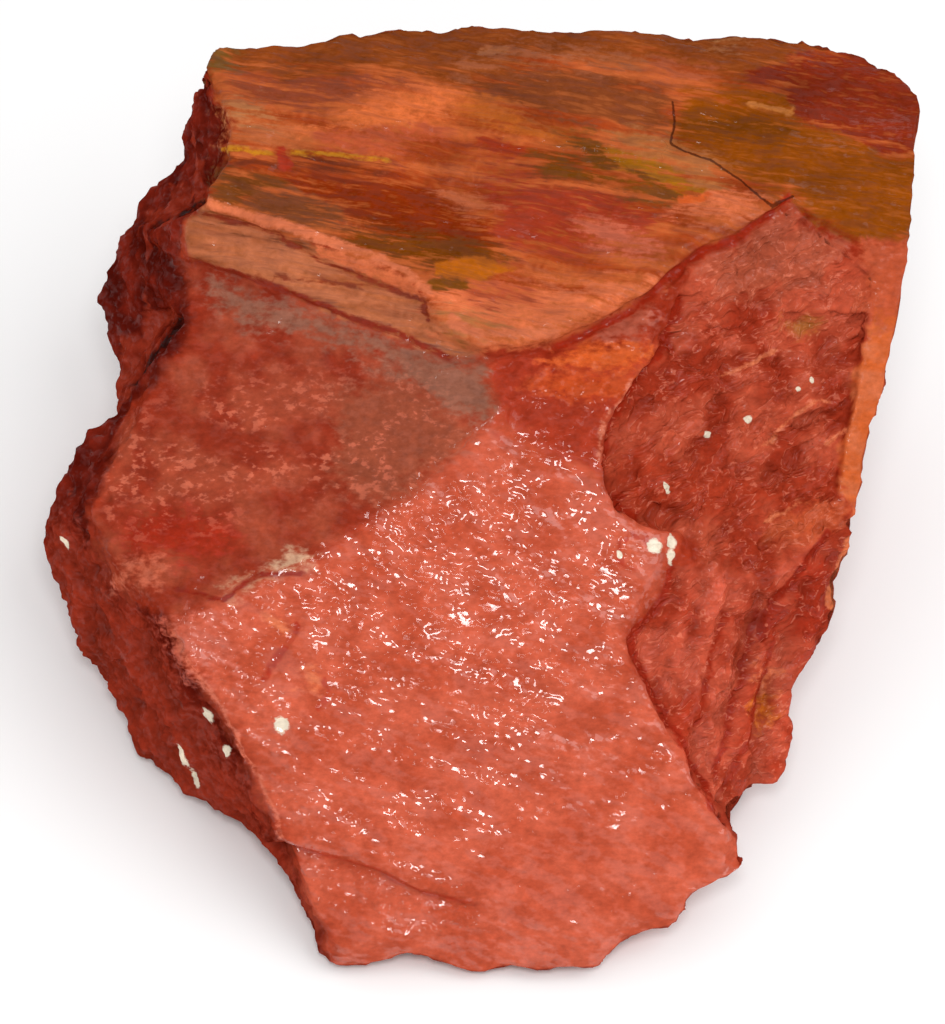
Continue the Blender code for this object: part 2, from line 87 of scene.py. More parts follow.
TILT_SIN = math.sin(FACE_ELEVATION)
TILT_COS = math.cos(FACE_ELEVATION)
FACE_OUT = Vector((0.0, -TILT_COS, TILT_SIN))
FACE_UP = Vector((0.0, TILT_SIN, TILT_COS))

# Zones of the front, as outlines of (right, up)
PLATEAU = [
    (-46, 82), (78, 82), (78, 45), (68, 43), (60, 43.5), (55, 46), (50.5, 49.6), (46.4, 47),
    (41.9, 44.2), (36, 42.2), (32.5, 39.1), (27.9, 35.2), (23, 32.4), (18.5, 30), (13, 27.4),
    (8.4, 26.6), (2, 26.3), (-2, 28.3), (-6, 30.8), (-7.5, 34), (-10, 36.2), (-14.5, 38.8),
    (-19, 40.4), (-24.8, 42.6), (-30, 44.8), (-36, 46.6), (-42, 48.4), (-41.5, 51), (-40, 53),
    (-38.7, 56), (-38.8, 58), (-38, 61), (-38.5, 63.5), (-40.7, 65), (-41, 68), (-43, 72),
]
SLAB = [
    (-42, 49), (-36, 47), (-30, 45), (-24.8, 42.8), (-19, 40.6), (-14.5, 39), (-10, 36.4),
    (-7.5, 34), (-6, 31), (-2, 28.5), (2, 26.3), (-4, 23.8), (-12.6, 28.4), (-18.2, 30),
    (-23.4, 32.2), (-31.9, 35.9), (-40.4, 38.5), (-44.5, 40), (-45.5, 43), (-45, 47),
]
PANEL = [
    (-45.5, 43), (-44.5, 40), (-40.4, 38.5), (-31.9, 35.9), (-23.4, 32.2), (-18.2, 30),
    (-12.6, 28.4), (-4, 23.8), (2, 24), (1.8, 21), (4.5, 16.5), (0, 12), (-5, 7), (-10, 2),
    (-18, -2), (-25, -7), (-30, -9), (-38, -12), (-46, -17), (-48.6, -16.1), (-54.3, -13.4),
    (-57.9, -9), (-60.1, -4.5), (-60.6, 0), (-58.8, 2.1), (-56.6, 8.8), (-53.5, 16.4),
    (-49.9, 20.4), (-48.6, 22.2), (-45.9, 25.3), (-44.1, 31), (-45, 37),
]
BROAD_FACE = [
    (4.5, 16.5), (0, 12), (-5, 7), (-10, 2), (-18, -2), (-25, -7), (-30, -9), (-38, -12),
    (-46, -17), (-47.4, -18.8), (-44.5, -24.6), (-41.1, -29), (-38.7, -34.3), (-35.3, -40.1),
    (-32.8, -46), (-30.4, -51.3), (-29.4, -55.7), (-26.5, -61.5), (-23.6, -65.9), (-22.1, -72.2),
    (-22, -80), (48, -80), (46, -58), (41.9, -51.4), (39.1, -49), (36.4, -45.5), (34.4, -40.7),
    (31.2, -35.2), (28.1, -29.3), (25.7, -24.2), (24.1, -19.8), (27.3, -16.7), (29.7, -13.5),
    (31.2, -8.8), (31.8, -2.5), (29.4, -2.8), (25.9, -1.5), (22.5, 0.6), (21.1, 4.7), (20.8, 8.2),
    (12, 10),
]
LEFT_FLANK = [
    (-85, 85), (-43, 85), (-43, 72), (-41, 68), (-40.7, 65), (-38.5, 63.5), (-38, 61),
    (-38.8, 58), (-38.7, 56), (-40, 53), (-41.5, 51), (-44, 48.5), (-46, 46), (-46.5, 40),
    (-45, 37), (-44.1, 31), (-45.9, 25.3), (-48.6, 22.2), (-49.9, 20.4), (-53.5, 16.4),
    (-56.6, 8.8), (-58.8, 2.1), (-60.6, 0), (-60.1, -4.5), (-57.9, -9), (-54.3, -13.4),
    (-48.6, -16.1), (-47.4, -18.8), (-44.5, -24.6), (-41.1, -29), (-38.7, -34.3), (-35.3, -40.1),
    (-32.8, -46), (-30.4, -51.3), (-29.4, -55.7), (-26.5, -61.5), (-23.6, -65.9), (-22.1, -72.2),
    (-22.2, -85), (-85, -85),
]
HOLLOW = [
    (33.3, 35.5), (32.5, 33.6), (30.4, 27.5), (28.7, 24.4), (25.6, 20.9), (23.2, 17.1),
    (21.3, 13), (20.8, 8.2), (21.1, 4.7), (22.5, 0.6), (25.9, -1.5), (29.4, -2.8), (31.8, -2.5),
    (35, -5), (35.3, -8.4), (42, -10.2), (47.8, -10), (52, -7), (56, -3.5), (60, 0.6),
    (57.6, 3.7), (58, 6.1), (58.3, 10.2), (59, 13), (59.7, 16.4), (60.4, 20.9), (61.7, 24.7),
    (63.5, 30.2), (63.5, 38), (58, 42), (50.5, 48), (42, 42.4), (36.4, 40),
]
STRIP = [
    (63.5, 30.2), (61.7, 24.7), (60.4, 20.9), (59.7, 16.4), (59, 13), (58.3, 10.2), (58, 6.1),
    (57.6, 3.7), (60, 0.6), (60.4, -4), (58.4, -12), (57.2, -18), (85, -19), (85, 42), (68, 41),
    (64, 37),
]
RIGHT_PANEL = [
    (31.2, -8.8), (29.7, -13.5), (27.3, -16.7), (24.1, -19.8), (25.7, -24.2), (28.1, -29.3),
    (31.2, -35.2), (34.4, -40.7), (36.4, -45.5), (39.1, -49), (41.9, -51.4), (46, -58),
    (85, -58), (85, -10), (60, 0.6), (56, -3.5), (52, -7), (47.8, -10), (42, -10.2), (35.3, -8.4),
]
ZONES = {
    "left_flank": LEFT_FLANK, "hollow": HOLLOW, "right_panel": RIGHT_PANEL, "strip": STRIP,
    "broad_face": BROAD_FACE, "panel": PANEL, "slab": SLAB, "plateau": PLATEAU,
}

# Colours, as red, green and blue from 0 to 255 as they look on a screen
# The sides are coloured darker than the front: partly the stone's own colour and partly painted shade
SHADED_SIDE_REDS = ((126, 34, 18), (158, 54, 34))
FRONT_REDS = ((150, 44, 22), (184, 66, 40))
GROUNDS = {
    # The left flank's ground is darker than the other zones': partly its own colour and partly painted
    # shade
    "left_flank": ((92, 18, 8), (126, 34, 20)),
    "hollow": ((158, 50, 28), (190, 80, 54)),
    "right_panel": ((164, 54, 32), (192, 80, 56)),
    "strip": ((208, 96, 46), (212, 108, 66)),
    "broad_face": ((184, 76, 50), (200, 90, 64)),
    "panel": ((152, 52, 32), (170, 74, 50)),
    "slab": ((168, 90, 54), (196, 112, 74)),
    "plateau": ((158, 60, 22), (194, 94, 48)),
}
# Painted shadow, for the gaps under the overhangs
GAP_SHADOW_BLACK = (44, 12, 8)
# Painted shade, for the hollow's crease
CREASE_SHADE_RED = (160, 42, 20)
SALMON = (216, 110, 68)
# Painted highlight, for the lips of ledges and the hollow's long curls
PALE_SALMON_HIGHLIGHT = (212, 112, 74)
PINK = (200, 98, 70)
ORANGE = (212, 92, 40)
OCHRE = (142, 68, 4)
DARK_OCHRE = (118, 58, 4)
BRIGHT_OCHRE = (186, 96, 16)
OLIVE = (160, 98, 14)
DARK_OLIVE = (120, 66, 14)
YELLOW = (190, 120, 26)
BROWN = (142, 66, 22)
DARK_BROWN = (118, 44, 12)
RUST = (134, 42, 4)
TAUPE = (128, 66, 34)
MAUVE = (174, 102, 54)
GREY_PANEL = (150, 92, 72)
TAN = (180, 112, 66)
CREAM = (236, 220, 196)
PALE_TAN = (206, 158, 126)
DARK_STREAK = (96, 32, 8)
LIGHT_STREAK = (212, 116, 62)
PALE_FLECK = (206, 104, 76)
# Painted highlight, for the hollow's curling lines
PALE_CURL_HIGHLIGHT = (222, 126, 98)
# Painted shade, for the plateau's fine crack
CRACK_SHADE_BROWN = (66, 22, 8)


def area(zone, colour, *outline):
    """A patch of colour that stays inside a zone, or anywhere on the front where zone is None."""
    return zone, colour, None, outline


def line(colour, half_width, *points):
    """A thin mark along the points."""
    return None, colour, half_width, points


# Creases, furrows and gaps, which are both sunk and darkened with painted shade
LEDGE_CREASE = [
    (-42.2, 47.4), (-30.4, 44), (-26.6, 41.6), (-23.5, 39.4), (-18.2, 37.8), (-11.5, 35),
    (-7.8, 33.4), (-7.1, 30.4),
]
SLAB_CREASE = [
    (-44, 39.5), (-40.4, 38.7), (-31.9, 36.1), (-23.4, 32.4), (-18.2, 30.2), (-12.6, 28.7),
    (-4, 24.6),
]
HOLLOW_CREASE = [
    (50.5, 49.6), (46.4, 46.2), (41.9, 43.4), (36.4, 41.4), (33, 38.4), (28.4, 34.4), (23.4, 31.4),
    (18.9, 28.9), (13, 26.3),
]
HOLLOW_WALL = [
    (33.4, 33.4), (31.6, 27.3), (29.8, 24), (26.9, 20.4), (24.6, 16.6), (22.7, 12.8), (22.2, 8.2),
    (22.5, 5), (24, 1.8), (27, 0),
]
RIGHT_CREASE = [(56.6, -3.5), (51.8, -10.4), (47.6, -14.5), (46.2, -20.3)]
FIRST_FURROW = [(40, -16), (38, -23.4), (36, -34)]
SECOND_FURROW = [(45.4, -16.3), (43, -26.5), (40, -36), (39, -42)]
THIRD_FURROW = [(49, -15), (46.6, -24), (44.2, -34), (40.7, -44)]
PANEL_CREASE = [(-47, -12), (-40, -14), (-34, -9.9), (-27, -9.9)]
BROAD_CREASE = [(-27.4, -17.8), (-30, -21.8), (-33.8, -26.5)]
TOE_CREASE = [(-30.4, -52.8), (-21.6, -55.2), (-15.3, -57.2), (-8.3, -60.5), (0, -62.5)]
LOWER_GAP = [(-46.6, 30.4), (-49.4, 27), (-52.1, 23.3), (-55.6, 18)]
UPPER_GAP = [(-50.6, 45.2), (-46.4, 47.4), (-43, 49.4)]

# Patches of colour in three groups, each laid over the one before; the last also holds lines of painted
# shade and painted highlight
BIG_PATCHES = [
    area("left_flank", (144, 46, 28), (-68, 2), (-58, -8), (-48, -22), (-34, -48), (-26, -66), (-22, -85),
         (-70, -60)),
    area("plateau", BROWN, (-42, 74), (-38, 69.5), (-15, 69.5), (0, 67), (10, 71.5), (30, 71), (40, 68.5),
         (50, 69), (52, 73), (75, 82), (-46, 82)),
    area("plateau", OCHRE, (31.8, 65), (31.4, 58.6), (34, 57.2), (38, 55.5), (42.7, 52.6), (47, 48.5),
         (50.7, 50), (55.5, 45.8), (59.4, 43), (80, 43), (80, 56), (66, 57), (58, 60), (51, 64),
         (50, 66.5), (42, 67.5), (36, 68.5), (32, 67.5)),
    area("plateau", (132, 40, 16), (50, 67), (51, 63.5), (58, 59.5), (66, 56.5), (80, 55), (80, 72),
         (64, 75), (45, 71.5), (38, 69.5)),
    area("plateau", RUST, (-30, 54.2), (-22, 53.2), (-12, 53.5), (-3, 51), (2, 47), (4, 43.5), (0, 41),
         (-8, 42), (-14, 43.5), (-19.5, 46), (-21, 49), (-27, 50.5)),
    area("plateau", TAUPE, (-34, 52), (-27, 50.6), (-21, 48.5), (-19, 44), (-24, 43), (-31, 45.5),
         (-36, 47)),
    area("plateau", (116, 60, 20), (-41, 54), (-31, 53.5), (-30, 52), (-34, 49), (-37, 47), (-42, 48.5)),
    area("plateau", SALMON, (-8, 36), (0, 36), (10, 37), (20, 35), (30, 37), (30, 33), (15, 28), (2, 25),
         (-6, 30)),
    area("plateau", (132, 64, 30), (0, 70), (5, 71), (14, 71), (25, 69.3), (31.5, 67), (31.5, 61), (28, 60),
         (20, 60.5), (14, 62), (8, 65), (1, 66.5)),
    area("plateau", (160, 54, 30), (1, 52), (8, 53), (20, 52.5), (30, 47), (28, 44), (18, 41.5), (8, 42.5),
         (3, 45)),
    area("plateau", (184, 92, 34), (-3, 66), (2, 66), (8, 64.5), (15, 61.5), (20, 59), (14, 57.5), (6, 60),
         (0, 61.5), (-4, 63)),
    area("plateau", DARK_BROWN, (-39, 56.8), (-13, 55.6), (-14, 54.4), (-30, 54.6), (-39, 55)),
    area("plateau", (180, 94, 52), (-39, 62.5), (-30, 61.8), (-24, 60), (-24, 58), (-39, 57.8)),
    area("plateau", (146, 66, 38), (-40, 69.5), (-20, 69), (-5, 67.8), (-10, 67), (-25, 64.5), (-38, 65)),
    area("panel", GREY_PANEL, (-42, 37), (-36, 35), (-26, 31.5), (-16, 28), (-8, 25.5), (1, 23.5), (4, 17),
         (2, 14), (-5, 16), (-12, 22), (-22, 28), (-34, 29.5), (-41, 33)),
    area(None, (160, 78, 54), (-23, 19), (-10, 21), (1, 13), (-6, 6), (-14, 2), (-22, 5)),
    area("panel", (166, 46, 26), (-56, -4), (-52, -0.5), (-44, 0), (-38, -2), (-39, -5.5), (-47, -7.5),
         (-55, -7)),
    area(None, (168, 56, 34), (3, 25), (10, 26), (14, 22), (25, 20), (21, 6), (12, 9), (4, 15)),
    area("hollow", (168, 56, 32), (24, 10), (34, 8), (46, 6), (56, 8), (57, 2), (45, 0), (36, -2), (30, -1),
         (24, 2)),
    area(None, (178, 82, 56), (34, 40), (45, 46), (52, 48), (58, 42), (56, 36), (44, 34), (38, 35)),
    area(None, (188, 82, 50), (60, 43.5), (72, 44), (72, 30), (64, 30), (61, 36)),
    area("hollow", (188, 80, 46), (47, 0), (54, 2.5), (60, 1), (60, -4), (53, -5), (48, -4)),
    area("right_panel", (158, 46, 26), (52, -9), (58, -5), (59, -14), (55, -22), (48, -18)),
]
SMALL_PATCHES = [
    area("plateau", (218, 108, 56), (-27, 60), (-22, 62.5), (-15, 65.5), (-6, 67.8), (-2, 66.5), (-4, 63),
         (-12, 61.5), (-18, 61.3), (-25, 61.2)),
    area("plateau", (184, 82, 48), (-25, 60.8), (-18, 61.3), (-11, 61.5), (-5, 60), (-13, 56.5),
         (-22, 57.5)),
    area("plateau", MAUVE, (21, 59.5), (26, 60.5), (31, 59), (34, 57.2), (38, 55.5), (42.7, 52.6), (40, 51),
         (36, 51.5), (30, 55.5), (24, 58)),
    area("plateau", DARK_OCHRE, (-19, 45), (-10, 43.5), (0, 42), (5, 40.5), (0, 38.5), (-6, 38),
         (-12, 39.5), (-18, 42.5)),
    area("plateau", TAN, (-38, 64.6), (-33, 64.2), (-32, 62.5), (-38, 62.2)),
    area("plateau", (190, 96, 58), (-5.6, 51.5), (1.5, 51), (2, 48), (-1, 47.2), (-4, 48.5)),
    area("plateau", (170, 92, 54), (-0.5, 69), (1.5, 71.2), (6, 72.3), (14, 71.9), (25, 70), (32, 68.7),
         (32, 69.6), (25, 71.4), (14, 73), (5, 73.4), (0, 71.5)),
    area("plateau", (174, 84, 48), (24.7, 70.4), (30, 70.8), (38, 69.5), (38, 68.2), (30, 68.4)),
    area("plateau", PINK, (17, 45.5), (22, 45.8), (29, 42), (30, 40.4), (24, 41), (18, 43.5)),
    area("plateau", SALMON, (36, 51.2), (41, 51.6), (46.3, 47.6), (42, 46.5), (36, 47.5), (31, 48.3),
         (32, 50)),
    area("plateau", (150, 46, 18), (0, 59.5), (4, 60), (7, 57.5), (5.5, 56), (2, 57)),
    area("plateau", (112, 60, 8), (6, 57), (14, 56.5), (20, 54.5), (25, 52), (20, 52.5), (12, 53.3)),
    area("plateau", OLIVE, (21, 58), (27, 57), (33, 54), (38.5, 51.2), (36, 50), (30, 51), (23, 54.5)),
    area("plateau", DARK_OLIVE, (14, 60.5), (18, 59.8), (21, 58), (22.5, 54.5), (28, 51.4), (34, 49.8),
         (31, 49.2), (26, 50.4), (19, 54)),
    area("plateau", (126, 82, 32), (-43, 74), (-38, 73.5), (-38.5, 70), (-42, 69)),
    area("plateau", DARK_OCHRE, (33, 64), (42, 63), (50, 61.5), (50, 59), (40, 59.5), (33, 61)),
    area("plateau", (176, 76, 44), (-1, 36), (8, 36.5), (9, 33.4), (0, 33.8)),
    area("plateau", (182, 110, 62), (-5, 31.5), (2, 31), (5, 28.5), (0, 28)),
    area("plateau", TAN, (37, 77), (43.5, 77), (43, 74.8), (37.5, 74.8)),
    area("panel", PINK, (-57, -8), (-50, -8.2), (-49.5, -10.5), (-55, -11)),
    area("panel", PALE_TAN, (-31, -9.3), (-28, -6.8), (-26, -7.2), (-27.5, -9.2)),
    area("panel", (192, 138, 106), (-39, -13.2), (-35, -10.3), (-32.3, -10.5), (-33, -14), (-37.5, -14.6)),
    area(None, (196, 92, 70), (-48, -18), (-40, -16), (-38.4, -22), (-40, -27), (-44, -25)),
    area(None, ORANGE, (10.5, 24), (20, 27), (28, 25.6), (25.8, 22.8), (18, 22.6)),
    area(None, (192, 74, 32), (9, 20.5), (18, 22.2), (26, 21.5), (23.5, 18.4), (15, 17.4)),
    area(None, (176, 84, 62), (19.5, 28.5), (22, 32), (27, 33.5), (29, 30), (26, 27), (21, 27)),
    area("hollow", (168, 92, 38), (50, 30.5), (55, 31.5), (54, 28.8), (51, 28)),
    area("right_panel", (208, 104, 26), (45, -29.4), (46.4, -29), (46.3, -33.4), (45.2, -34)),
    area("right_panel", SALMON, (46, -25), (47.4, -25), (46.8, -28), (45.8, -28)),
    area(None, SALMON, (-31.4, -17), (-29.8, -17), (-29.6, -19), (-31.2, -19)),
    area(None, SALMON, (-27, -27.4), (-23.6, -24.4), (-23.8, -26), (-26, -28)),
]
MARKS = [
    area("plateau", DARK_OLIVE, (18, 59), (21, 57.5), (24, 55), (22, 55)),
    area("plateau", DARK_OLIVE, (24, 54.6), (30, 51.8), (35, 50.2), (32, 50), (26, 52.4)),
    area("plateau", BRIGHT_OCHRE, (-6, 39.2), (0, 40), (7, 39), (3, 37.5), (-5, 37.3)),
    area("plateau", DARK_OLIVE, (-7, 36.7), (-1, 37.2), (0, 35.8), (-6, 35)),
    area("plateau", ORANGE, (31, 50.3), (38, 50.8), (37, 49.4), (32, 49)),
    line(YELLOW, 0.4, (-38.5, 57.3), (-35, 57), (-31.8, 56.6)),
    line(YELLOW, 0.3, (-28.4, 57.1), (-20, 56.6), (-13, 56)),
    line((162, 48, 26), 0.9, (-30, 57.2), (-29.6, 55)),
    # Painted highlight along a rim of the plateau
    line((190, 112, 52), 0.45, (43.8, 65), (50.5, 63.6)),
    line((180, 104, 62), 0.4, (1, 73.4), (5, 73.5)),
    # Painted highlight along the plateau's lower lip
    line(PALE_SALMON_HIGHLIGHT, 0.6, (-41.8, 49), (-36, 47.3), (-30, 45.6), (-24.8, 43.6), (-19, 41.6),
         (-14.5, 40), (-10, 37.4), (-7, 35.2)),
    # Painted shade in the ledge's crease
    line((142, 54, 32), 0.4, *LEDGE_CREASE),
    line(SALMON, 0.9, (-24, 41.6), (-18, 39.2), (-12, 36.8), (-9, 35.2)),
    line((140, 60, 34), 0.3, (-35, 37.9), (-26, 37), (-17, 36)),
    # Painted shade in the slab's crease and the hollow's crease
    line((142, 44, 26), 0.5, *SLAB_CREASE),
    line(CREASE_SHADE_RED, 0.55, *HOLLOW_CREASE),
    # Painted highlight along the plateau's lower lip over the hollow
    line(PALE_SALMON_HIGHLIGHT, 0.7, (13, 28.6), (6, 28), (1, 28.2), (-3, 30.4)),
    # Painted shade on the hollow's wall
    line((150, 38, 18), 0.9, *HOLLOW_WALL),
    # Painted highlight along the hollow's rim
    line((208, 110, 82), 0.3, (25.3, 21), (22.9, 17.2), (20.9, 13), (20.4, 8.2)),
    # Painted shade along the broad face's edge over the right panel, in the right crease, the furrows and
    # the panel's crease
    line((154, 42, 24), 0.7, (32.2, -8.8), (30.6, -13.3), (28.4, -16.7), (25.3, -19.8), (26.9, -24.2),
         (29.3, -29.3), (32.4, -35.2), (35.6, -40.7), (37.6, -45.5), (40.2, -49)),
    line((146, 38, 20), 0.7, *RIGHT_CREASE),
    line((152, 42, 22), 0.5, *FIRST_FURROW),
    line((156, 44, 26), 0.5, *SECOND_FURROW),
    line((154, 44, 24), 0.5, *THIRD_FURROW),
    line((140, 36, 20), 0.4, *PANEL_CREASE),
    # Painted highlight along the flank's ridge
    line((206, 104, 78), 0.3, (-47.2, -19), (-44.2, -24.6), (-40.8, -29), (-38.3, -34.3), (-35, -40.1),
         (-32.4, -46), (-30, -51.3)),
    # Painted shade in the broad face's creases and along the toe's crease
    line((170, 54, 34), 0.6, *BROAD_CREASE),
    line((176, 60, 38), 0.5, (-23.4, -26.6), (-23.2, -29), (-25, -31.4)),
    line((178, 64, 42), 0.5, *TOE_CREASE),
    line((176, 60, 40), 0.4, (28.6, -6), (27.5, -3.8), (25, -3.5), (22.9, -5.4), (23.2, -8), (25.6, -9.2)),
    # Painted highlights along the hollow's long curls
    line(PALE_SALMON_HIGHLIGHT, 0.25, (39.4, 21.3), (44.2, 23.7), (48.3, 25.7)),
    line(PALE_SALMON_HIGHLIGHT, 0.25, (44.9, 9.9), (47.6, 11.3), (49.7, 14.4), (54.2, 17.5), (56.9, 17.8)),
    line(PALE_SALMON_HIGHLIGHT, 0.3, (56.6, 10.8), (58, 12.3), (61, 13.5)),
    line(PALE_SALMON_HIGHLIGHT, 0.3, (46.2, -1.5), (52.1, 2)),
    line(SALMON, 0.8, (60.2, -4.5), (58.6, -10), (57.2, -15)),
    # Painted shadow in the gaps under the overhangs
    line(GAP_SHADOW_BLACK, 0.35, *LOWER_GAP),
    line(GAP_SHADOW_BLACK, 0.25, *UPPER_GAP),
]
PAINT = [BIG_PATCHES, SMALL_PATCHES, MARKS]

# The edges of each group's patches, in millimetres: how soft they are, and how far they stray
# along the bedding, with the grain and finely
EDGES = [(2.2, 13.0, 9.0, 5.0), (1.8, 8.0, 7.0, 5.0), (0.3, 0.5, 1.2, 1.2)]

# How the creases, furrows and gaps are sunk, in millimetres: (height, half width, points)
FOLDS = [
    (-0.3, 0.5, LEDGE_CREASE), (-0.4, 0.8, SLAB_CREASE), (-0.8, 0.7, HOLLOW_CREASE),
    (-0.9, 1.0, HOLLOW_WALL), (-0.7, 0.8, RIGHT_CREASE), (-0.5, 0.9, FIRST_FURROW),
    (-0.5, 0.9, SECOND_FURROW), (-0.5, 0.9, THIRD_FURROW), (-0.4, 0.5, PANEL_CREASE),
    (-0.5, 0.8, BROAD_CREASE), (-0.4, 0.7, TOE_CREASE), (-0.8, 0.6, LOWER_GAP),
    (-0.8, 0.5, UPPER_GAP),
]

# Where the film is more rippled, and where the panel is flecked
RIPPLED_TOE = [(-26, -57), (-15, -61), (-4, -64)]
RIPPLED_EDGE = [(-43, -19), (-36, -32), (-30, -48)]
FLECKED_BAND = [(-52, 4), (-36, 11), (-14, 12)]

# The fine crack across the plateau, which is darkened with painted shade
CRACK = [
    (31.8, 65), (32, 61.5), (31.4, 58.6), (34, 57.2), (38, 55.5), (42.7, 52.6), (47, 48.5), (50.7, 50),
]

# Small cream specks, upright or leaning by SPECK_LEAN: (right, up, half width, half height)
SPECK_LEAN = math.radians(22)
UPRIGHT_SPECKS = [
    (28.9, -5.4, 1.2, 1.05), (31.6, -4.6, 0.6, 1.2), (31.4, -7, 0.6, 1.2), (-30.4, -33.8, 1.1, 1.4),
    (43.5, 14.7, 0.6, 0.55), (37.4, 12.3, 0.55, 0.5), (53.8, 21, 0.35, 0.5), (51.6, 19.5, 0.35, 0.4),
]
LEANING_SPECKS = [
    (23.3, -6.8, 0.4, 0.7), (-42, -32.4, 0.55, 1.3), (-45.8, -38.6, 0.55, 1.9), (-44, -42.4, 0.4, 1.6),
    (-39.1, -38, 0.35, 0.9), (-64.4, -4.7, 0.35, 1.1), (30.8, 3.9, 0.35, 1.0),
]


def face_coordinates(points):
    """(right, up, out) in millimetres of world points in metres, as an array of rows."""
    places = np.asarray(points, float) / MM + np.array(BLOCK_CENTRE)
    height = places[:, 2] - FACE_HEIGHT
    out = height * TILT_SIN - places[:, 1] * TILT_COS
    along = height * TILT_COS + places[:, 1] * TILT_SIN
    spread = 1 - out / SIGHT_DISTANCE
    return np.column_stack([places[:, 0] / spread, along / spread, out])


def turned(places, angle, sizes=(1, 1, 1)):
    """The places in axes turned by the angle, counted in these sizes."""
    right, up, out = np.asarray(places, float).T
    along = right * math.cos(angle) + up * math.sin(angle)
    across = up * math.cos(angle) - right * math.sin(angle)
    return np.column_stack([along, across, out]) / sizes


def lamp_place(right, up, out):
    """World position, in metres, of a lamp at these distances from the broad face's middle."""
    return (Vector((right, 0, FACE_HEIGHT)) + FACE_UP * up + FACE_OUT * out - BLOCK_CENTRE) * MM


def distance_to_side(spots, first, last):
    side = last - first
    share = np.clip((spots - first) @ side / (side @ side), 0, 1)
    return np.hypot(*(spots - first - share[:, None] * side).T)


def distance_to_line(spots, points):
    corners = np.array(points, float)
    distances = [distance_to_side(spots, first, last) for first, last in zip(corners, corners[1:])]
    return np.min(distances, axis=0)


def depth_inside(spots, outline):
    """How far spots of (right, up) lie inside an outline, in millimetres: negative outside it."""
    corners = np.array(outline, float)
    inside = np.zeros(len(spots), bool)
    for first, last in zip(corners, np.roll(corners, -1, axis=0)):
        if first[1] != last[1]:
            crossed = (first[1] > spots[:, 1]) != (last[1] > spots[:, 1])
            crossing = first[0] + (spots[:, 1] - first[1]) * (last[0] - first[0]) / (last[1] - first[1])
            inside ^= crossed & (spots[:, 0] < crossing)
    nearest = distance_to_line(spots, np.vstack([corners, corners[:1]]))
    return np.where(inside, nearest, -nearest)


def seen_from_front(places):
    """1 for each place that isn't well behind another part of the stone in the front view, else 0."""
    cell_size = 4
    half_count = 40
    allowance = 14
    column, row = (np.floor(places[:, :2] / cell_size).astype(int) + half_count).T
    nearest = np.full((2 * half_count, 2 * half_count), -999.0)
    np.maximum.at(nearest, (column, row), places[:, 2])
    return np.where(places[:, 2] > nearest[column, row] - allowance, 1.0, 0.0)


def smooth_step(values, low, high):
    share = np.clip((values - low) / (high - low), 0, 1)
    return share * share * (3 - 2 * share)


def shade(colour):
    """A screen colour from 0 to 255 as the linear colour that a shader takes."""
    return [((c / 255 + 0.055) / 1.055) ** 2.4 if c > 10 else c / 255 / 12.92 for c in colour]


def grain(right, up, slope, long, short, shift):
    """Noise drawn out along a slope of the front, from about -1 to 1."""
    along = right * math.cos(slope) + up * math.sin(slope)
    across = up * math.cos(slope) - right * math.sin(slope)
    return noise.noise(Vector((along / long, across / short, shift)))


def hackle(spot, size):
    """Sharp curling ridges, from about -0.5 to 0.5."""
    curl = noise.noise_vector(spot / (1.6 * size)) * 0.7
    return 0.5 - 2 * abs(noise.noise(spot / size + curl))


def fine_relief(spot, place, within):
    """The fine roughness at a point: its height in millimetres, and how much lighter or darker its colour
    is painted: mostly painted shade in its low places and painted light on its ridges and broad swells,
    with some tone that differs at random.

    within holds each zone's share there.
    """
    right, up, _ = place
    smooth = within["broad_face"]
    lumps = noise.fractal(spot / 6, 0.9, 2.1, 3)
    height = (0.42 - 0.25 * smooth) * lumps
    # The colour is painted darker where the lumps are low and lighter where they are high: painted shade
    # and light
    tone_and_shade = 0.1 * (1 - smooth) * lumps
    rough = within["hollow"] + 0.6 * within["left_flank"] + 0.5 * within["elsewhere"]
    if rough > 0:
        drawn = Vector((0.5 * right + 0.35 * up, 1.1 * up - 0.75 * right, spot.z))
        ridges = 1.0 * hackle(drawn, 5.0) + 0.9 * hackle(drawn, 2.4)
        height += rough * ridges
        tone_and_shade += 0.1 * rough * ridges + within["left_flank"] * (0.08 * ridges + 0.16 * lumps)
    if smooth > 0:
        ripple = grain(right, up, RIPPLE_SLOPE, 8, 3.0, 3.0) + 0.5 * grain(right, up, -0.55, 4, 1.7, 8.0)
        height += 0.22 * smooth * ripple
        # Broad swells of painted shade and light over the broad face
        swell = grain(right, up, -0.6, 22, 12, 6.0)
        tone_and_shade += smooth * (0.1 + 0.07 * ripple + 0.05 * swell)
    if within["right_panel"] > 0:
        rib = within["right_panel"] * (grain(right, up, 1.35, 18, 3.0, 5.0) + 0.5 * hackle(spot, 2.8))
        height += 1.3 * rib
        tone_and_shade += 0.35 * rib
    if within["plateau"] > 0:
        bed = grain(right, up, BEDDING_SLOPE, 30, 2.6, 1.0)
        step = math.floor(bed * 4) / 4 + 0.3 * bed
        height += within["plateau"] * (0.35 * step + 0.16 * grain(right, up, -0.2, 9, 1.2, 2.0))
        tone_and_shade += within["plateau"] * (0.06 * step + 0.26 * grain(right, up, -0.2, 14, 5, 9.0))
    if within["slab"] > 0:
        height += 0.4 * within["slab"] * grain(right, up, -0.33, 14, 1.6, 4.0)
    if within["panel"] > 0:
        swell = 0.3 * grain(right, up, -0.2, 12, 2.2, 6.0) + 0.2 * hackle(spot, 3.0)
        height += within["panel"] * swell
        tone_and_shade += 0.3 * within["panel"] * swell
    return height, tone_and_shade


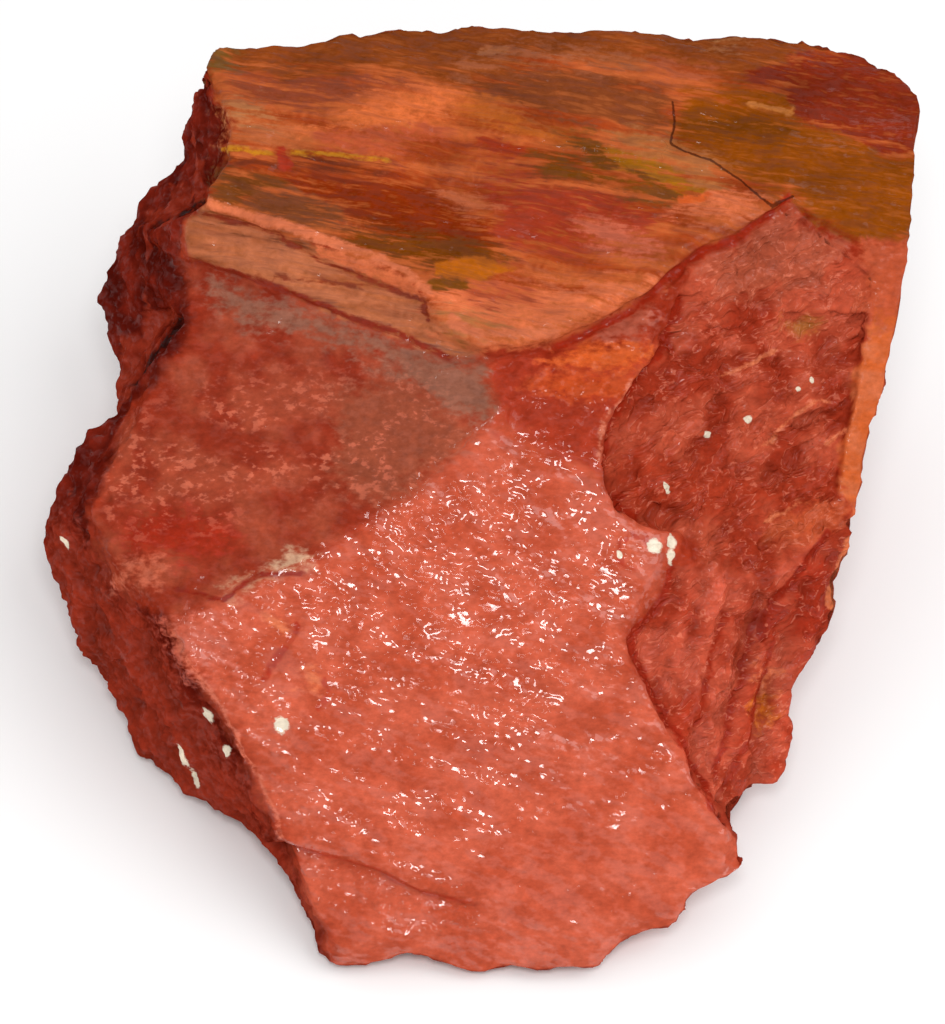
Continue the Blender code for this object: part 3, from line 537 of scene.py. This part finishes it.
def steps(spots, depths, facing):
    """The heights, in millimetres, of the ledges' lips and of the creases at their feet."""
    lip = smooth_step(depths["plateau"], -0.3, 0.4) - smooth_step(depths["plateau"], 1.5, 8)
    heights = PLATEAU_LIP * lip
    heights += SLAB_LIP * (smooth_step(depths["slab"], -0.3, 0.4) - smooth_step(depths["slab"], 1.0, 5))
    rim = smooth_step(spots[:, 0], 36, 31)
    sunk = smooth_step(depths["hollow"], -0.2, 0.7) - smooth_step(depths["hollow"], 2, 9)
    heights -= HOLLOW_RIM * rim * sunk
    beside = smooth_step(depths["broad_face"], -7, -2)
    heights -= RIGHT_PANEL_DROP * beside * smooth_step(depths["right_panel"], -0.2, 0.6)
    right, up = np.array(TOE_CREASE).T
    below = np.interp(spots[:, 0], right, up) - spots[:, 1]
    tilted = smooth_step(below, -0.6, 0.6) * np.clip(1 - below / TOE_REACH, 0, 1)
    heights -= TOE_DROP * tilted * smooth_step(spots[:, 0], 6, -4)
    for height, half_width, points in FOLDS:
        heights += height * smooth_step(distance_to_line(spots, points), half_width + 0.6, half_width - 0.4)
    return heights * facing


def dense_copy():
    """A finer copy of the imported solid, finest on its front, with its facets' edges eased."""
    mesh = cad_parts["rock"].data.copy()
    mesh.name = "jasper_surface"
    mesh.materials.clear()
    bm = bmesh.new()
    bm.from_mesh(mesh)
    bmesh.ops.remove_doubles(bm, verts=bm.verts[:], dist=1e-6)
    bmesh.ops.subdivide_edges(bm, edges=bm.edges[:], cuts=CUTS_ALL_ROUND, use_grid_fill=True)
    bmesh.ops.triangulate(bm, faces=bm.faces[:])
    bm.normal_update()
    bm.faces.index_update()
    front = {face.index for face in bm.faces if face.normal.dot(FACE_OUT) > 0.05}
    front_edges = [edge for edge in bm.edges if any(face.index in front for face in edge.link_faces)]
    bmesh.ops.subdivide_edges(bm, edges=front_edges, cuts=CUTS_ON_FRONT, use_grid_fill=True)
    bmesh.ops.triangulate(bm, faces=bm.faces[:])
    for _ in range(EASING_PASSES):
        bmesh.ops.smooth_vert(
            bm, verts=bm.verts[:], factor=0.5, use_axis_x=True, use_axis_y=True, use_axis_z=True
        )
    bm.to_mesh(mesh)
    bm.free()
    return mesh


def pushed_about(places):
    """The places' (right, up), moved a millimetre or two to and fro so that patches get natural edges."""
    pushes = [noise.noise_vector(Vector((right / 11, up / 5, 3.3))) for right, up, _ in places]
    finer = [noise.noise_vector(Vector((right / 4, up / 2, 8.3))) for right, up, _ in places]
    pushes = np.array(pushes)[:, :2] + 0.5 * np.array(finer)[:, :2]
    return places[:, :2] + pushes * (2.4, 1.1)


def painted(spots, pushed, depths, shapes):
    """The colour of the nearest of a group's shapes, and how deep in it each spot lies."""
    deepest = np.full(len(spots), -9.0)
    colours = np.zeros((len(spots), 3))
    for zone, colour, half_width, points in shapes:
        if half_width:
            depth = half_width - distance_to_line(0.6 * spots + 0.4 * pushed, points)
        else:
            depth = depth_inside(pushed, points)
        if zone:
            depth = np.minimum(depth, depths[zone] + 0.4)
        colours[depth > deepest] = shade(colour)
        deepest = np.maximum(deepest, depth)
    return colours, deepest


def ground_colours(places, spots, depths, facing):
    """The stone's colours under its patches."""
    blotches = [noise.fractal(Vector(place) / 7, 0.9, 2.1, 3) for place in places]
    blotches = smooth_step(np.array(blotches), -0.35, 0.35)[:, None]
    right, up, out = places.T
    layers = np.column_stack([right / 20, (up + 0.16 * right) / 1.6, out / 9])
    beds = [noise.fractal(Vector(layer), 0.9, 2.1, 3) for layer in layers]
    beds = smooth_step(np.array(beds), -0.35, 0.35)[:, None]
    edge = 0.7 * (blotches[:, 0] + beds[:, 0] - 1)
    # Faces turned away from the front take the darker side reds, partly painted shade
    sides = shade_between(SHADED_SIDE_REDS, 0.4 * blotches + 0.6 * beds)
    colours = sides + (shade_between(FRONT_REDS, blotches) - sides) * facing[:, None]
    for name, shades in GROUNDS.items():
        layered = beds if name in ("plateau", "slab", "strip") else blotches
        softness = 2.2 if name in ("broad_face", "panel") else 0.4
        share = (smooth_step(depths[name] + edge, -softness, softness) * facing)[:, None]
        colours += (shade_between(shades, layered) - colours) * share
    return colours


def shade_between(pair, share):
    first = np.array(shade(pair[0]))
    return first + (np.array(shade(pair[1])) - first) * share


def flow_coordinates(places, shares):
    """Coordinates that run along the grain of each zone, for the noise that draws it."""
    right, up, out = places.T
    waves = np.array([noise.noise(Vector((x / 18, y / 7, 4.4))) for x, y, _ in places])
    warp = np.array([noise.noise_vector(Vector(place) / 3.5) for place in places])
    bedded = np.column_stack([right / 5.5, (up + 0.17 * right + 1.2 * waves) / 0.8, out / 6])
    hackly = turned(places, 0.6, (4.2, 1.9, 2.8)) + 0.7 * warp
    rows = np.column_stack([right / 5.5, (up + 0.35 * right + 2 * waves) / 2.4, out / 2.5])
    flecked = np.column_stack([right / 2.2, (up + 0.12 * right) / 1.3, out / 2.2])
    chosen = [
        shares["plateau"] + shares["slab"] > 0.5, shares["hollow"] + shares["right_panel"] > 0.5,
        shares["broad_face"] > 0.5,
    ]
    return np.select([c[:, None] for c in chosen], [bedded, hackly, rows], flecked)


def crack_field(spots):
    """For each spot, the signed distance across the crack, and 1 where it lies beside it."""
    corners = np.array(CRACK, float)
    across = np.full(len(spots), 9.0)
    for first, last in zip(corners, corners[1:]):
        side = (last - first) / np.hypot(*(last - first))
        along = (spots - first) @ side
        offset = (spots - first) @ (-side[1], side[0])
        beside = (along > -0.3) & (along < np.hypot(*(last - first)) + 0.3)
        nearer = beside & (np.abs(offset) < np.abs(across))
        across[nearer] = offset[nearer]
    return np.column_stack([across, np.abs(across) < 3, np.zeros(len(spots))])


def add_attribute(mesh, name, values):
    kind = "FLOAT_VECTOR" if values.ndim == 2 else "FLOAT"
    attribute = mesh.attributes.new(name, kind, "POINT")
    field = "vector" if values.ndim == 2 else "value"
    attribute.data.foreach_set(field, np.ascontiguousarray(values, dtype=np.float32).ravel())


def stone_surface():
    """The stone as it is seen, with its fine relief and the fields that its colours use."""
    mesh = dense_copy()
    count = len(mesh.vertices)
    points = np.empty(count * 3)
    normals = np.empty(count * 3)
    mesh.vertices.foreach_get("co", points)
    mesh.vertex_normals.foreach_get("vector", normals)
    points = points.reshape(-1, 3)
    normals = normals.reshape(-1, 3)
    places = face_coordinates(points)
    spots = places[:, :2]
    depths = {name: depth_inside(spots, outline) for name, outline in ZONES.items()}
    facing = smooth_step(normals @ np.array(FACE_OUT), 0.02, 0.22) * seen_from_front(places)
    shares = {name: smooth_step(depth, -1.0, 1.0) * facing for name, depth in depths.items()}
    shares["elsewhere"] = np.clip(1 - sum(shares.values()), 0, 1)
    resting = smooth_step(points[:, 2] / MM, 0.0, 3.0)
    folds = steps(spots, depths, facing)
    # Each vertex's tone holds the painted shade and light of its relief, and some tone that differs at
    # random
    tones_and_shades = np.full(count, BASE_TONE)
    for i in range(count):
        within = {name: share[i] for name, share in shares.items()}
        height, tone_and_shade = fine_relief(Vector(points[i]) / MM, places[i], within)
        points[i] += normals[i] * (height + folds[i]) * resting[i] * MM
        tones_and_shades[i] += tone_and_shade
    points[:, 2] = np.maximum(points[:, 2], 0)
    mesh.vertices.foreach_set("co", points.ravel())

    add_attribute(mesh, "place", places)
    add_attribute(mesh, "leaning", turned(places, SPECK_LEAN))
    add_attribute(mesh, "bedding", turned(places, BEDDING_SLOPE, (22, 1.2, 8)))
    add_attribute(mesh, "grit", places / (1.5, 1.0, 1.3))
    add_attribute(mesh, "film", turned(places, RIPPLE_SLOPE, (1.35, 1.05, 1.2)))
    add_attribute(mesh, "facing", facing)
    add_attribute(mesh, "tone_and_shade", np.clip(tones_and_shades, *TONE_LIMITS))
    add_attribute(mesh, "flow", flow_coordinates(places, shares))
    add_attribute(mesh, "ground", ground_colours(places, spots, depths, facing))
    pushed = pushed_about(places)
    for number, shapes in enumerate(PAINT):
        colours, depth = painted(spots, pushed, depths, shapes)
        add_attribute(mesh, f"paint_{number}", colours)
        add_attribute(mesh, f"depth_{number}", depth)
    bedded = smooth_step(np.maximum(shares["plateau"], shares["slab"]), 0.85, 1.0)
    hackly = smooth_step(np.maximum(shares["hollow"], shares["right_panel"]), 0.85, 1.0)
    clouds = smooth_step(np.array([noise.noise(Vector(place) / 8) for place in places]), -0.25, 0.15)
    flecked = clouds * shares["panel"] * smooth_step(distance_to_line(spots, FLECKED_BAND), 15, 4)
    add_attribute(mesh, "texture", np.column_stack([bedded, hackly, flecked]))
    add_attribute(mesh, "crack", crack_field(spots))
    toe = smooth_step(distance_to_line(spots, RIPPLED_TOE), 8, 3)
    edge = smooth_step(distance_to_line(spots, RIPPLED_EDGE), 7, 3)
    add_attribute(mesh, "rippled", 1 + 1.1 * toe + 1.2 * edge)
    square_on = smooth_step(normals @ np.array(FACE_OUT), 0.3, 0.8)
    add_attribute(mesh, "wet", 0.05 + square_on * (0.25 + 0.7 * shares["broad_face"]))
    mesh.shade_smooth()
    mesh.update()
    return mesh


class Shades:
    """Builds one material's nodes."""

    def __init__(self, name):
        self.material = bpy.data.materials.new(name)
        self.material.use_nodes = True
        self.tree = self.material.node_tree
        self.shader = self.tree.nodes["Principled BSDF"]

    def node(self, kind, settings=None, **links):
        made = self.tree.nodes.new(kind)
        for key, value in (settings or {}).items():
            setattr(made, key, value)
        for key, value in links.items():
            self.put(made.inputs[key.replace("_", " ")], value)
        return made

    def put(self, socket, value):
        if isinstance(value, bpy.types.NodeSocket):
            self.tree.links.new(value, socket)
        else:
            socket.default_value = value

    def attribute(self, name, output="Fac"):
        return self.node("ShaderNodeAttribute", {"attribute_name": name}).outputs[output]

    def math(self, operation, *values):
        made = self.node("ShaderNodeMath", {"operation": operation})
        for socket, value in zip(made.inputs, values):
            self.put(socket, value)
        return made.outputs[0]

    def noise(self, field, detail, roughness=0.5):
        """Noise over a field of coordinates on the mesh."""
        place = self.attribute(field, "Vector")
        made = self.node("ShaderNodeTexNoise", Vector=place, Scale=1.0, Detail=detail, Roughness=roughness)
        return made.outputs["Fac"]

    def ramp(self, value, low, high):
        """0 at low and 1 at high, smooth between them."""
        made = self.node("ShaderNodeMapRange", {"interpolation_type": "SMOOTHSTEP"}, Value=value)
        made.inputs["From Min"].default_value = low
        made.inputs["From Max"].default_value = high
        return made.outputs["Result"]

    def mix(self, share, first, second):
        """The second colour over the first: each is a socket, or a screen colour."""
        made = self.node("ShaderNodeMix", {"data_type": "RGBA"})
        self.put(made.inputs["Factor"], share)
        for name, colour in (("A", first), ("B", second)):
            socket = isinstance(colour, bpy.types.NodeSocket)
            self.put(made.inputs[name], colour if socket else (*shade(colour), 1.0))
        return made.outputs["Result"]


def speck_mask(shades, uneven):
    """1 inside any of the cream specks, with uneven edges."""
    nearest = 9.0
    for field, specks in (("place", UPRIGHT_SPECKS), ("leaning", LEANING_SPECKS)):
        spot = shades.attribute(field, "Vector")
        angle = SPECK_LEAN if field == "leaning" else 0.0
        for right, up, half_width, half_height in specks:
            middle = turned([(right, up, 0)], angle)[0]
            offset = shades.node("ShaderNodeVectorMath", {"operation": "MULTIPLY_ADD"})
            shades.put(offset.inputs[0], spot)
            offset.inputs[1].default_value = (1 / half_width, 1 / half_height, 0)
            offset.inputs[2].default_value = (-middle[0] / half_width, -middle[1] / half_height, 0)
            length = shades.node("ShaderNodeVectorMath", {"operation": "LENGTH"})
            shades.put(length.inputs[0], offset.outputs["Vector"])
            nearest = shades.math("MINIMUM", length.outputs["Value"], nearest)
    return shades.ramp(shades.math("MULTIPLY_ADD", uneven, 1.6, nearest), 1.2, 0.8)


def patched(shades, colour, facing, in_beds, flow, uneven):
    """The colour with each group of patches over it."""
    for number, (soft, along, grained, finely) in enumerate(EDGES):
        depth = shades.math("MULTIPLY_ADD", in_beds, along, shades.attribute(f"depth_{number}"))
        depth = shades.math("MULTIPLY_ADD", flow, grained, depth)
        depth = shades.math("MULTIPLY_ADD", uneven, finely, depth)
        mask = shades.math("MULTIPLY", shades.ramp(depth, -soft, soft), facing)
        colour = shades.mix(mask, colour, shades.attribute(f"paint_{number}", "Vector"))
    return colour


def streaked(shades, colour, broken, bedded):
    """The colour with dark and light streaks along the beds."""
    dark_streaks = shades.math("MULTIPLY", shades.ramp(broken, 0.0, 0.2), bedded)
    colour = shades.mix(shades.math("MULTIPLY", dark_streaks, 0.3), colour, DARK_STREAK)
    light_streaks = shades.math("MULTIPLY", shades.ramp(broken, -0.02, -0.2), bedded)
    return shades.mix(shades.math("MULTIPLY", light_streaks, 0.25), colour, LIGHT_STREAK)


def flecked_and_curled(shades, colour, flow, uneven, curl_line, texture):
    """The colour with the panel's pale flecks and the painted highlights along the hollow's curling lines.
    """
    _, hackly, flecked = texture
    ragged = shades.math("MULTIPLY_ADD", uneven, 0.9, flow)
    flecks = shades.math("MULTIPLY", shades.ramp(ragged, 0.05, 0.16), flecked)
    colour = shades.mix(shades.math("MULTIPLY", flecks, 0.7), colour, PALE_FLECK)
    # Painted highlights along the curling lines
    curl_highlights = shades.math("MULTIPLY", shades.ramp(curl_line, 0.03, 0.006), shades.ramp(uneven, -0.06, 0.08))
    curl_highlight_mask = shades.math("MULTIPLY", curl_highlights, hackly)
    return shades.mix(shades.math("MULTIPLY", curl_highlight_mask, 0.4), colour, PALE_CURL_HIGHLIGHT)


def cracked_and_specked(shades, colour, facing, uneven):
    """The colour with painted shade along the fine crack, and the cream specks."""
    crack = shades.node("ShaderNodeSeparateXYZ", None, Vector=shades.attribute("crack", "Vector"))
    across = shades.math("ABSOLUTE", shades.math("MULTIPLY_ADD", uneven, 0.5, crack.outputs["X"]))
    # Painted shade along the crack
    crack_shade_mask = shades.math("MULTIPLY", shades.ramp(across, 0.26, 0.1), crack.outputs["Y"])
    colour = shades.mix(shades.math("MULTIPLY", crack_shade_mask, 0.8), colour, CRACK_SHADE_BROWN)
    specks = shades.math("MULTIPLY", speck_mask(shades, uneven), facing)
    return shades.mix(specks, colour, CREAM)


def wet_film(shades, flow, broken, curl_line, texture):
    """The film of water over the stone: its ripples, and how much of it there is."""
    bedded, hackly, _ = texture
    ripples = shades.noise("film", 0.0)
    ripples = shades.math("MULTIPLY", ripples, shades.attribute("rippled"))
    ripples = shades.math("MULTIPLY_ADD", shades.math("MULTIPLY", curl_line, hackly), -6.0, ripples)
    ripples = shades.math("MULTIPLY_ADD", shades.math("MULTIPLY", flow, bedded), 0.9, ripples)
    film = shades.node("ShaderNodeBump", None, Strength=1.0, Distance=FILM_DEPTH, Height=ripples)
    shades.put(shades.shader.inputs["Normal"], film.outputs["Normal"])
    shades.put(shades.shader.inputs["Coat Normal"], film.outputs["Normal"])
    film_share = shades.math("MULTIPLY_ADD", shades.ramp(broken, -0.04, 0.1), 0.9, 0.1)
    wetness = shades.math("MULTIPLY", film_share, shades.attribute("wet"))
    shades.put(shades.shader.inputs["Coat Weight"], wetness)
    shades.shader.inputs["Coat Roughness"].default_value = FILM_ROUGHNESS
    shades.shader.inputs["Coat IOR"].default_value = FILM_IOR


def jasper():
    """Wet jasper, with its patches, bands, flecks, curls and specks."""
    shades = Shades("jasper")
    facing = shades.attribute("facing")
    # Noise along the beds, fine and even all over, and along each zone's own grain, all about 0
    layered = shades.math("SUBTRACT", shades.noise("bedding", 3.0, 0.65), 0.5)
    fine = shades.noise("grit", 3.0, 0.65)
    uneven = shades.math("SUBTRACT", fine, 0.5)
    flow = shades.math("SUBTRACT", shades.noise("flow", 2.0, 0.6), 0.5)
    broken = shades.math("MULTIPLY_ADD", uneven, 0.5, flow)
    curl_line = shades.math("ABSOLUTE", flow)
    parted = shades.node("ShaderNodeSeparateXYZ", None, Vector=shades.attribute("texture", "Vector"))
    texture = tuple(parted.outputs)
    bedded = texture[0]
    in_beds = shades.math("MULTIPLY", layered, shades.math("MULTIPLY_ADD", bedded, 0.85, 0.15))

    # Each layer of colour goes over the ones before
    colour = shades.attribute("ground", "Vector")
    colour = patched(shades, colour, facing, in_beds, flow, uneven)
    colour = streaked(shades, colour, broken, bedded)
    colour = flecked_and_curled(shades, colour, flow, uneven, curl_line, texture)
    colour = cracked_and_specked(shades, colour, facing, uneven)
    # The tone darkens and lightens the colour with the relief's painted shade and light
    toned = shades.node("ShaderNodeHueSaturation", None, Color=colour)
    value = shades.math("MULTIPLY_ADD", fine, 0.9, 0.55)
    shades.put(toned.inputs["Value"], shades.math("MULTIPLY", value, shades.attribute("tone_and_shade")))
    shades.put(shades.shader.inputs["Base Color"], toned.outputs["Color"])
    shades.shader.inputs["Roughness"].default_value = STONE_ROUGHNESS
    shades.shader.inputs["Specular IOR Level"].default_value = 0.0
    wet_film(shades, flow, broken, curl_line, texture)
    return shades.material


def add_camera():
    """Looks square at the broad face, as the photograph does."""
    lens = bpy.data.cameras.new("camera")
    lens.sensor_fit = "VERTICAL"
    lens.angle = 2 * math.atan(PICTURE_HEIGHT / 2 / SIGHT_DISTANCE)
    lens.clip_start = 0.01
    camera = bpy.data.objects.new("camera", lens)
    bpy.context.scene.collection.objects.link(camera)
    axes = Matrix((Vector((1, 0, 0)), FACE_UP, FACE_OUT)).transposed()
    middle = Vector((0, 0, FACE_HEIGHT)) - BLOCK_CENTRE
    camera.matrix_world = Matrix.Translation((middle + FACE_OUT * SIGHT_DISTANCE) * MM) @ axes.to_4x4()
    bpy.context.scene.camera = camera


def add_light(name, position, target, size, power):
    light = bpy.data.lights.new(name, "AREA")
    light.shape = "DISK"
    light.size = size
    light.energy = power
    lamp = bpy.data.objects.new(name, light)
    bpy.context.scene.collection.objects.link(lamp)
    lamp.location = position
    lamp.rotation_euler = (Vector(position) - Vector(target)).to_track_quat("Z", "Y").to_euler()


def add_floor():
    side = 3.0
    mesh = bpy.data.meshes.new("floor")
    corners = [(-side, -side, 0), (side, -side, 0), (side, side, 0), (-side, side, 0)]
    mesh.from_pydata(corners, [], [(0, 1, 2, 3)])
    floor = bpy.data.objects.new("floor", mesh)
    bpy.context.scene.collection.objects.link(floor)
    paper = bpy.data.materials.new("pale_floor")
    paper.use_nodes = True
    shader = paper.node_tree.nodes["Principled BSDF"]
    shader.inputs["Base Color"].default_value = (0.98, 0.98, 0.98, 1)
    shader.inputs["Roughness"].default_value = 0.9
    mesh.materials.append(paper)


def add_studio():
    """A soft light all round, a soft box at the upper right and a small lamp near the camera."""
    world = bpy.data.worlds.new("studio")
    world.use_nodes = True
    world.node_tree.nodes["Background"].inputs["Color"].default_value = (1, 1, 1, 1)
    world.node_tree.nodes["Background"].inputs["Strength"].default_value = WORLD_LIGHT
    bpy.context.scene.world = world
    middle = (0.0, 0.0, 0.04)
    for name, place, size, power in LAMPS:
        add_light(name, lamp_place(*place), middle, size, power)
    bpy.context.scene.view_settings.view_transform = "Standard"


def main():
    stone = bpy.data.objects.new("jasper_block", stone_surface())
    bpy.context.scene.collection.objects.link(stone)
    stone.data.materials.append(jasper())
    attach(stone, "root")
    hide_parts("rock")
    add_floor()
    add_studio()
    add_camera()


main()
